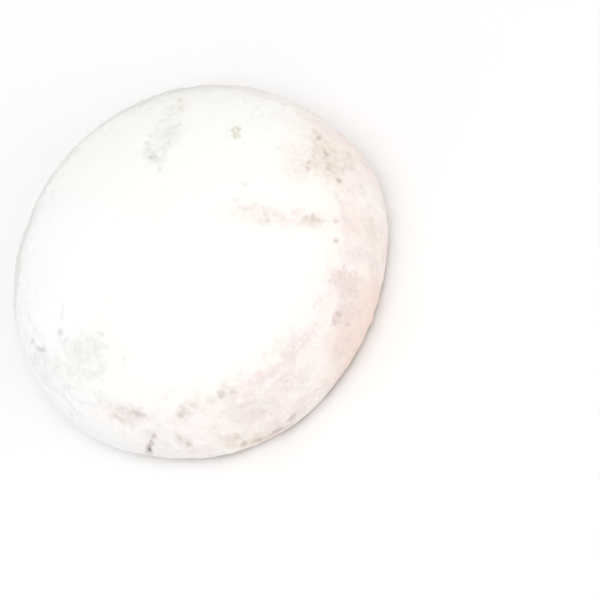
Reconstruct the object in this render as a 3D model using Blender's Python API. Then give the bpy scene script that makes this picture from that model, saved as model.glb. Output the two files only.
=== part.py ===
"""A snowball cookie: a ball of short nut dough that slumped in the oven into a low dome, then rolled
in powdered sugar. It is one piece of food, so it is one closed solid that stands on its flat base.

Metres, +Z up. The origin is the middle of the base, and -Y is the side that faces the viewer.
Run it with: blender --background --python part.py
"""

import math

import bmesh
import bpy
from mathutils import Vector, noise

MM = 0.001

# Driving sizes of the cookie
DIAMETER = 45.0 * MM
HEIGHT = 14.5 * MM
WIDEST_LEVEL = 2.3 * MM  # height of the widest ring above the table
FOOT_RADIUS = 2.7 * MM  # how tightly the edge curls under to the base
SHOULDER_SLOPE = math.radians(31.0)  # where the shallow crown turns into the steep rim

# The plan isn't a true circle: (waves round the edge, height of the wave, bearing of its crest)
PLAN_WAVES = (
    (2, 0.17 * MM, math.radians(57.0)),
    (3, 0.06 * MM, math.radians(-4.0)),
    (4, 0.20 * MM, math.radians(-18.0)),
    (5, 0.08 * MM, math.radians(-25.0)),
)

# Unevenness of the dough under its sugar: (size of a lump, height over the crown, height over the rim)
LUMPS = (
    (15.0 * MM, 0.16 * MM, 0.10 * MM),
    (6.5 * MM, 0.10 * MM, 0.16 * MM),
    (3.0 * MM, 0.05 * MM, 0.13 * MM),
)
LUMP_SEED = Vector((3.1, 7.4, 1.9))  # where in the noise field this cookie is cut from
RIM_LUMPS_START = 0.72  # the rim's rougher lumps fade in from here, in shares of the shoulder's distance,
RIM_LUMPS_FULL = 1.08  # and are full from here outwards

# Places where the sugar has rubbed or soaked thin, a little sunk:
# (bearing in degrees, distance from the axis, half length, half width, turn in degrees, depth)
WORN_PLACES = (
    (57.0, 13.2 * MM, 4.6 * MM, 1.8 * MM, -38.0, 0.30 * MM),
    (-11.0, 19.6 * MM, 3.4 * MM, 2.0 * MM, 20.0, 0.34 * MM),
    (-36.0, 15.0 * MM, 3.8 * MM, 1.2 * MM, 55.0, 0.20 * MM),
    (-64.0, 20.6 * MM, 3.6 * MM, 1.8 * MM, 12.0, 0.26 * MM),
    (-173.0, 15.6 * MM, 3.6 * MM, 2.9 * MM, 0.0, 0.30 * MM),
    (-152.0, 19.3 * MM, 2.6 * MM, 1.4 * MM, 4.0, 0.30 * MM),
    (-121.0, 18.9 * MM, 4.2 * MM, 1.3 * MM, 6.0, 0.28 * MM),
    (-109.0, 22.0 * MM, 4.6 * MM, 1.5 * MM, 0.0, 0.30 * MM),
)

RAGGED_SIZE = 1.6 * MM  # size of the ragged patches inside a worn place
RAGGED_MEAN, RAGGED_SWING = 0.7, 0.6  # their depth, in shares of the place's own depth

# Facets of the finished solid
GRID_CUTS = 27  # cuts along each edge of the cube that the ball starts from
FOOT_POLAR = math.radians(140.0)  # how far round the ball the foot ends
BASE_SNAP = 0.12 * MM  # points this near the table are laid on it
CUT_TOLERANCE = 0.0001 * MM  # points this near the table count as on it when the base is cut
SHARP_EDGE = math.radians(50.0)  # edges bent more than this are shaded as creases


def crown_and_rim_radii():
    """Radii of the two arcs that carry the section from the top down to its widest ring.

    They meet at the shoulder with one tangent, reach half the diameter and drop the right height.
    """
    half = DIAMETER / 2
    drop = HEIGHT - WIDEST_LEVEL
    sine, cosine = math.sin(SHOULDER_SLOPE), math.cos(SHOULDER_SLOPE)
    rim = (drop * sine - half * (1 - cosine)) / (sine * cosine - (1 - sine) * (1 - cosine))
    crown = (half - rim * (1 - sine)) / sine
    return crown, rim


CROWN_RADIUS, RIM_RADIUS = crown_and_rim_radii()
SHOULDER_RADIUS = CROWN_RADIUS * math.sin(SHOULDER_SLOPE)

# The section's arcs, from the top down: (radius, slope where it starts, slope where it ends)
ARCS = (
    (CROWN_RADIUS, 0.0, SHOULDER_SLOPE),
    (RIM_RADIUS, SHOULDER_SLOPE, math.pi / 2),
    (FOOT_RADIUS, math.pi / 2, math.pi),
)
SECTION_LENGTH = sum(radius * (end - start) for radius, start, end in ARCS)


def section_point(share):
    """(distance from the axis, height) at this share of the section, from the top, 0, to the foot, 1."""
    across, height = 0.0, HEIGHT
    left = min(share, 1.0) * SECTION_LENGTH
    for radius, start, end in ARCS:
        slope = min(end, start + left / radius)
        across += radius * (math.sin(slope) - math.sin(start))
        height -= radius * (math.cos(start) - math.cos(slope))
        left -= radius * (slope - start)
    return across, height


def place_on_cookie(direction):
    """The point of the smooth cookie that a point on a ball, in this direction, slumps to."""
    polar = direction.angle(Vector((0.0, 0.0, 1.0)), 0.0)
    bearing = math.atan2(direction.y, direction.x)
    across, height = section_point(polar / FOOT_POLAR)
    if polar > FOOT_POLAR:  # under the foot, which the table cuts away
        across *= (math.pi - polar) / (math.pi - FOOT_POLAR)
    return Vector((across * math.cos(bearing), across * math.sin(bearing), height))


def plan_scale(bearing):
    """How much wider than a true circle the cookie is in this bearing, as a factor."""
    wave = sum(size * math.cos(count * (bearing - crest)) for count, size, crest in PLAN_WAVES)
    return 1 + wave / (DIAMETER / 2)


def rim_share(point):
    """0 over the crown, 1 from the shoulder outwards, smooth between them."""
    across = math.hypot(point.x, point.y)
    start, end = RIM_LUMPS_START * SHOULDER_RADIUS, RIM_LUMPS_FULL * SHOULDER_RADIUS
    share = min(1.0, max(0.0, (across - start) / (end - start)))
    return share * share * (3 - 2 * share)


def lump_height(point):
    """Height of the dough's unevenness at this point."""
    rim = rim_share(point)
    height = 0.0
    for size, over_crown, over_rim in LUMPS:
        height += noise.noise(point / size + LUMP_SEED) * (over_crown + (over_rim - over_crown) * rim)
    return height


def worn_depth(point):
    """How far the sugar has sunk at this point, over all worn places."""
    depth = 0.0
    for bearing, across, half_length, half_width, turn, deepest in WORN_PLACES:
        bearing = math.radians(bearing)
        middle = Vector((across * math.cos(bearing), across * math.sin(bearing), 0.0))
        outward, along = middle.normalized(), Vector((-math.sin(bearing), math.cos(bearing), 0.0))
        offset = Vector((point.x, point.y, 0.0)) - middle
        turn = math.radians(turn)
        long_way = math.cos(turn) * along + math.sin(turn) * outward
        short_way = math.cos(turn) * outward - math.sin(turn) * along
        reach = math.hypot(offset.dot(long_way) / half_length, offset.dot(short_way) / half_width)
        if reach < 1:
            ragged = RAGGED_MEAN + RAGGED_SWING * noise.noise(point / RAGGED_SIZE - LUMP_SEED)
            depth = max(depth, deepest * ragged * (1 - reach * reach) ** 2)
    return depth


def ball_grid():
    """A ball of nearly even squares: a cube, cut into a grid on each side and pushed out to a sphere."""
    ball = bmesh.new()
    bmesh.ops.create_cube(ball, size=2.0)
    bmesh.ops.subdivide_edges(ball, edges=ball.edges[:], cuts=GRID_CUTS, use_grid_fill=True)
    for vertex in ball.verts:
        vertex.co = Vector([math.tan(c * math.pi / 4) for c in vertex.co]).normalized()
    return ball


def slump(ball):
    """Shapes the ball into the cookie: the smooth section first, then its plan, lumps and worn places."""
    for vertex in ball.verts:
        vertex.co = place_on_cookie(vertex.co)
    ball.normal_update()
    moved = []
    for vertex in ball.verts:
        scale = plan_scale(math.atan2(vertex.co.y, vertex.co.x))
        relief = lump_height(vertex.co) - worn_depth(vertex.co)
        relief *= min(1.0, max(0.0, vertex.co.z / WIDEST_LEVEL))  # the foot lies true on the table
        spread = Vector((vertex.co.x * scale, vertex.co.y * scale, vertex.co.z))
        moved.append(spread + vertex.normal * relief)
    for vertex, place in zip(ball.verts, moved):
        vertex.co = place


def stand_on_table(ball):
    """Cuts the cookie off flat at the table and closes the base."""
    for vertex in ball.verts:
        if abs(vertex.co.z) < BASE_SNAP:
            vertex.co.z = 0.0
    geometry = ball.verts[:] + ball.edges[:] + ball.faces[:]
    cut = bmesh.ops.bisect_plane(
        ball, geom=geometry, dist=CUT_TOLERANCE, plane_co=(0, 0, 0), plane_no=(0, 0, -1), clear_outer=True
    )
    rim = [item for item in cut["geom_cut"] if isinstance(item, bmesh.types.BMEdge)]
    bmesh.ops.contextual_create(ball, geom=rim)
    bmesh.ops.triangulate(ball, faces=ball.faces[:], quad_method="SHORT_EDGE")
    bmesh.ops.recalc_face_normals(ball, faces=ball.faces[:])


def centre_on_origin(ball):
    """Moves the cookie so that the origin lies under the middle of its outline."""
    xs = [vertex.co.x for vertex in ball.verts]
    ys = [vertex.co.y for vertex in ball.verts]
    middle = Vector(((min(xs) + max(xs)) / 2, (min(ys) + max(ys)) / 2, 0.0))
    bmesh.ops.translate(ball, verts=ball.verts[:], vec=-middle)


def sugar_finish():
    """Matt white sugar with the faint cream of the dough under it."""
    finish = bpy.data.materials.new("sugared_dough")
    finish.use_nodes = True
    shader = finish.node_tree.nodes["Principled BSDF"]
    shader.inputs["Base Color"].default_value = (0.91, 0.88, 0.84, 1.0)
    shader.inputs["Roughness"].default_value = 0.95
    shader.inputs["Metallic"].default_value = 0.0
    return finish


def make_cookie():
    """The whole cookie, as one object."""
    ball = ball_grid()
    slump(ball)
    stand_on_table(ball)
    centre_on_origin(ball)
    mesh = bpy.data.meshes.new("cookie")
    ball.to_mesh(mesh)
    ball.free()
    mesh.materials.append(sugar_finish())
    mesh.shade_smooth()
    mesh.set_sharp_from_angle(angle=SHARP_EDGE)
    cookie = bpy.data.objects.new("cookie", mesh)
    bpy.context.scene.collection.objects.link(cookie)
    return cookie


def main():
    for old in list(bpy.data.objects):
        bpy.data.objects.remove(old)
    make_cookie()


main()
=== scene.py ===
# %% [markdown]
# # A snowball cookie
# A snowball cookie is a ball of short, nutty dough. It slumps in the oven into a low dome, and while it
# is still warm it is rolled in powdered sugar. So nearly all that the eye sees is sugar: soft, white and
# matt, with small clumps, shallow pits, and places where it has rubbed thin or soaked up butter.
#
# The dome itself is already made, as a plain solid at its real size. This lesson dresses it. The solid
# comes in first and is never changed, because it fixes the size and the place of everything else.

# %% Load the plain solid
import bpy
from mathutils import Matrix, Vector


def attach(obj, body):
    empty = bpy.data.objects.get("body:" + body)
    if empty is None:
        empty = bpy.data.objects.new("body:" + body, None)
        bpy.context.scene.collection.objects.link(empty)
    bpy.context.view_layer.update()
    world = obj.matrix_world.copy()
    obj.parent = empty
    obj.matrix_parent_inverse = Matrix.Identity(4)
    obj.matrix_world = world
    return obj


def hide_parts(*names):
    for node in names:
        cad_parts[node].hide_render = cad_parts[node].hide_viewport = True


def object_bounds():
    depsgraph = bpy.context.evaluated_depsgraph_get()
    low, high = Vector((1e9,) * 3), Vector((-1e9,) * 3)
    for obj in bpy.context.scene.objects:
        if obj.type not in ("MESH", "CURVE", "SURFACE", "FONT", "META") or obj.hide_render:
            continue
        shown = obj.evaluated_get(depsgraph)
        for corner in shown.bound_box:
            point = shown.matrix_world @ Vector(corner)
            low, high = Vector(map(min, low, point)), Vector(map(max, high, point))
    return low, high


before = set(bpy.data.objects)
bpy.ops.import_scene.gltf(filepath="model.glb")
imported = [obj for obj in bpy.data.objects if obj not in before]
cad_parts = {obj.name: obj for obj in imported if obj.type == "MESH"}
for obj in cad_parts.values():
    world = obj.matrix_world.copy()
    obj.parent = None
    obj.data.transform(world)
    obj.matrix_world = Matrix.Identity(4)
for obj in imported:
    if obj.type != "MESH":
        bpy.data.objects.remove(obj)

solid_lowest, solid_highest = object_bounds()
print("solid:", [round(1000 * (high - low), 2) for low, high in zip(solid_lowest, solid_highest)], "mm")

# %% [markdown]
# ## Measures
# All lengths are metres, as in the solid. Writing `0.4 * MM` keeps them readable. The random draws all
# come from one seeded generator, so that the cookie looks the same each time the script runs.

# %% Measures and the seeded draw
import math

import bmesh
import bpy
import numpy as np
from mathutils import Euler, Matrix, Quaternion, Vector, noise
from mathutils.bvhtree import BVHTree

MM = 0.001
SEED = 2148
draw = np.random.default_rng(SEED)

HEIGHT = solid_highest.z - solid_lowest.z
RADIUS = (solid_highest.x - solid_lowest.x + solid_highest.y - solid_lowest.y) / 4
print(f"cookie: {2000 * RADIUS:.1f} mm across, {1000 * HEIGHT:.1f} mm high")

# %% [markdown]
# ## The sugared dome
# The solid has facets nearly a millimetre long, and powdered sugar has detail down to a quarter of that.
# Subdividing every facet would also split the long triangles of the base into slivers. A voxel remesh
# gives even little squares all over instead, base included. A few rounds of smoothing then melt the
# facets away, as sugar does when it fills the small hollows of the dough.
#
# The frame's mesh is loose triangles, so the copy's doubled corners are merged before anything else.

# %% Copy the solid, remesh it finely and melt its facets
JOIN_WITHIN = 0.005 * MM  # corners this close together are one corner
SUGAR_CELL = 0.235 * MM  # size of one square of the finished surface
MELT_FACTOR = 0.5  # how far each round of smoothing moves a point
MELT_ROUNDS = 17


def merged_copy(node):
    """A mesh like the CAD node's, with its loose triangles joined."""
    form = bmesh.new()
    form.from_mesh(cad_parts[node].data)
    bmesh.ops.remove_doubles(form, verts=form.verts[:], dist=JOIN_WITHIN)
    mesh = bpy.data.meshes.new("sugar_coat")
    form.to_mesh(mesh)
    form.free()
    return mesh


def applied(piece):
    """Takes the piece's modifiers into its mesh."""
    graph = bpy.context.evaluated_depsgraph_get()
    finished = bpy.data.meshes.new_from_object(piece.evaluated_get(graph))
    plain = piece.data
    piece.modifiers.clear()
    piece.data = finished
    bpy.data.meshes.remove(plain)


sugar_coat = bpy.data.objects.new("sugar_coat", merged_copy("cookie"))
bpy.context.scene.collection.objects.link(sugar_coat)
remesh = sugar_coat.modifiers.new("even squares", "REMESH")
remesh.mode = "VOXEL"
remesh.voxel_size = SUGAR_CELL
melt = sugar_coat.modifiers.new("melt", "SMOOTH")
melt.factor = MELT_FACTOR
melt.iterations = MELT_ROUNDS
applied(sugar_coat)
corner_count, square_count = len(sugar_coat.data.vertices), len(sugar_coat.data.polygons)
print("sugar coat:", corner_count, "points,", 2 * square_count, "triangles")

# %% [markdown]
# ## Finding a place on the dome
# A place is given as on a globe, seen from a point low on the cookie's axis: a bearing round it, counted
# from +X and anticlockwise from above, and an elevation. A ray cast outwards in that direction finds the
# surface, and two directions that lie in the surface there say which way a mark runs: `along` goes round
# the cookie, and `up` climbs towards its top. Plain coordinates would do as well, but a mark placed by
# them floats or drowns as soon as the dome changes.

# %% Cast rays from the globe's centre
GLOBE_CENTRE = Vector((0.0, 0.0, 3.0 * MM))
ALMOST_UPRIGHT = 89.9  # degrees; straight up has no bearing
SURFACE = BVHTree.FromObject(sugar_coat, bpy.context.evaluated_depsgraph_get())


def place(bearing, elevation):
    """(point, along, up, outward) on the dome, for a bearing and an elevation in degrees."""
    bearing, elevation = math.radians(bearing), math.radians(elevation)
    level = math.cos(elevation)
    direction = Vector((level * math.cos(bearing), level * math.sin(bearing), math.sin(elevation)))
    point, outward, _, _ = SURFACE.ray_cast(GLOBE_CENTRE, direction)
    along = Vector((-math.sin(bearing), math.cos(bearing), 0.0))
    up = outward.cross(along).normalized()
    return point, along, up, outward


top_point = place(0.0, ALMOST_UPRIGHT)[0]
print("top of the dome at", [round(c / MM, 2) for c in top_point], "mm")

# %% [markdown]
# ## Where the sugar has worn
# These marks could be painted by hand on an image, but then each change would mean painting again. Here
# they are a list, and a change is one number. Each mark is an oval with a soft, ragged edge: a bearing
# and an elevation in degrees, half its length and half its width in millimetres, and how many degrees its
# length is turned up from level. Then come how strongly it shows, its tone, and how many millimetres it
# sank.
#
# There are three tones. Where sugar has rubbed off, tan dough shows. Where steam made it damp, it is grey
# and a little see-through. Where butter soaked into it, it is a dull rose. A tone is written as its shares
# of damp and of butter; the rest is dough. The patches come first. They are broad and faint.

# %% The tones, and the patches by name
DOUGH, DAMP, BUTTER = (0.0, 0.0), (1.0, 0.0), (0.0, 1.0)
BUTTERY_DOUGH, DAMP_BUTTER, DAMP_DOUGH = (0.0, 0.55), (0.40, 0.90), (0.48, 0.32)
TAUPE = (0.30, 0.55)
PATCHES = {
    # name: (bearing, elevation, half length, half width, turn, strength, tone, sink)
    "damp streak, far side": (54.0, 33.5, 3.60, 2.40, -85.0, 0.62, DAMP, 0.08),
    "damp streak, outer end": (53.5, 26.0, 2.40, 1.50, -80.0, 0.55, DAMP, 0.05),
    "damp streak, inner end": (61.5, 43.5, 2.60, 1.80, -75.0, 0.60, DAMP, 0.06),
    "heart of the damp streak": (51.5, 34.0, 1.60, 1.30, -75.0, 0.58, DAMP, 0.08),
    "rubbed patch, back": (82.0, 4.5, 3.40, 1.60, 6.0, 0.62, DAMP_BUTTER, 0.10),
    "rubbed patch, back, below": (96.0, 0.0, 2.60, 1.20, -4.0, 0.60, DOUGH, 0.08),
    "damp patch, back left": (127.0, 3.0, 3.00, 1.50, -8.0, 0.58, DAMP, 0.08),
    "rubbed patch, back right": (44.0, 2.5, 3.00, 1.50, 10.0, 0.58, BUTTERY_DOUGH, 0.08),
    "rubbed foot, back": (110.0, -4.5, 3.40, 1.10, 0.0, 0.70, DOUGH, 0.10),
    "rubbed foot, left": (158.0, -3.0, 3.00, 1.20, 4.0, 0.60, DAMP_DOUGH, 0.08),
    "grey haze, far side": (66.0, 14.0, 2.6, 0.9, -20.0, 0.42, DAMP, 0.05),
    "rubbed spots, far side": (49.5, 22.0, 1.25, 0.80, -65.0, 0.20, DOUGH, 0.03),
    "rubbed patch, right": (-10.0, 16.0, 4.20, 2.60, -20.0, 0.60, DOUGH, 0.10),
    "rubbed patch, right, below": (-14.0, 19.0, 2.40, 1.60, -30.0, 0.60, DOUGH, 0.08),
    "rubbed patch, far right": (-13.5, 10.5, 2.2, 1.3, -10.0, 0.50, DOUGH, 0.06),
    "pink patch above it": (-10.0, 24.5, 3.00, 2.00, -25.0, 0.30, BUTTER, 0.05),
    "rubbed streak, right": (-34.0, 41.0, 3.80, 1.50, 80.0, 0.50, DAMP_BUTTER, 0.04),
    "rubbed streak, right, below": (-37.5, 27.0, 3.20, 1.50, -85.0, 0.54, TAUPE, 0.06),
    "halo of the bar": (-37.0, 25.5, 1.70, 1.00, -90.0, 0.84, TAUPE, 0.04),
    "buttery patch, front right": (-57.0, 12.0, 2.50, 1.90, 70.0, 0.86, BUTTER, 0.08),
    "buttery patch, front": (-65.0, 8.5, 2.30, 1.80, -65.0, 0.78, BUTTER, 0.10),
    "buttery smear, lower right": (-73.0, 4.0, 2.60, 1.70, 0.0, 0.42, BUTTER, 0.05),
    "crumbly stretch, front": (-107.0, 11.5, 4.80, 2.80, -4.0, 0.56, DAMP_BUTTER, 0.05),
    "crumbly stretch, front right": (-94.0, 11.0, 3.60, 2.10, -8.0, 0.50, DAMP_BUTTER, 0.04),
    "dimpled patch, left": (-170.5, 24.5, 5.00, 3.60, 22.0, 0.40, DAMP, 0.08),
    "streaks at the left": (178.0, 14.0, 3.60, 1.90, 20.0, 0.50, DAMP, 0.06),
    "rubbed patch, lower left": (-147.5, 14.0, 3.40, 1.60, 5.0, 0.66, DAMP_BUTTER, 0.12),
    "damp hook, lower edge": (-141.0, 9.0, 1.4, 0.8, 30.0, 0.42, DAMP_DOUGH, 0.08),
    "rubbed patch, lower edge": (-130.5, 6.5, 1.50, 1.20, -55.0, 0.58, DAMP_DOUGH, 0.12),
    "shoulder, lower left": (-126.5, 16.2, 2.60, 1.25, 29.0, 0.50, DAMP_BUTTER, 0.04),
    "shoulder, front left": (-113.0, 17.2, 3.20, 1.30, 5.0, 0.54, DAMP_BUTTER, 0.06),
    "shoulder, front": (-98.0, 16.8, 3.20, 0.90, -8.0, 0.48, BUTTER, 0.08),
    "shoulder, front right": (-80.0, 15.5, 3.2, 0.9, -4.0, 0.34, BUTTER, 0.08),
    "browned foot": (-116.5, 3.0, 1.80, 1.30, 75.0, 0.58, BUTTERY_DOUGH, 0.06),
    "browned foot, front": (-111.0, -2.0, 2.40, 1.15, 15.0, 0.70, DOUGH, 0.08),
    "browned foot, right": (-104.0, -4.0, 2.40, 1.20, 10.0, 0.80, BUTTER, 0.10),
    "browned foot, far right": (-98.0, -1.0, 1.90, 1.00, 8.0, 0.66, TAUPE, 0.06),
    "tan smear, right": (-24.0, 9.0, 1.40, 0.90, 0.0, 0.46, DAMP_DOUGH, 0.04),
    "tan smear, front": (-99.0, 6.0, 1.20, 0.90, -5.0, 0.24, DOUGH, 0.02),
    "tan smear, front right": (-90.0, 2.5, 1.20, 0.90, 90.0, 0.30, DOUGH, 0.02),
}
print(len(PATCHES), "patches")

# %% [markdown]
# The spots lie in the patches and are written in the same way. They are small and plainer to see, and
# each fades out from its middle, as a speck under sugar does.

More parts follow.
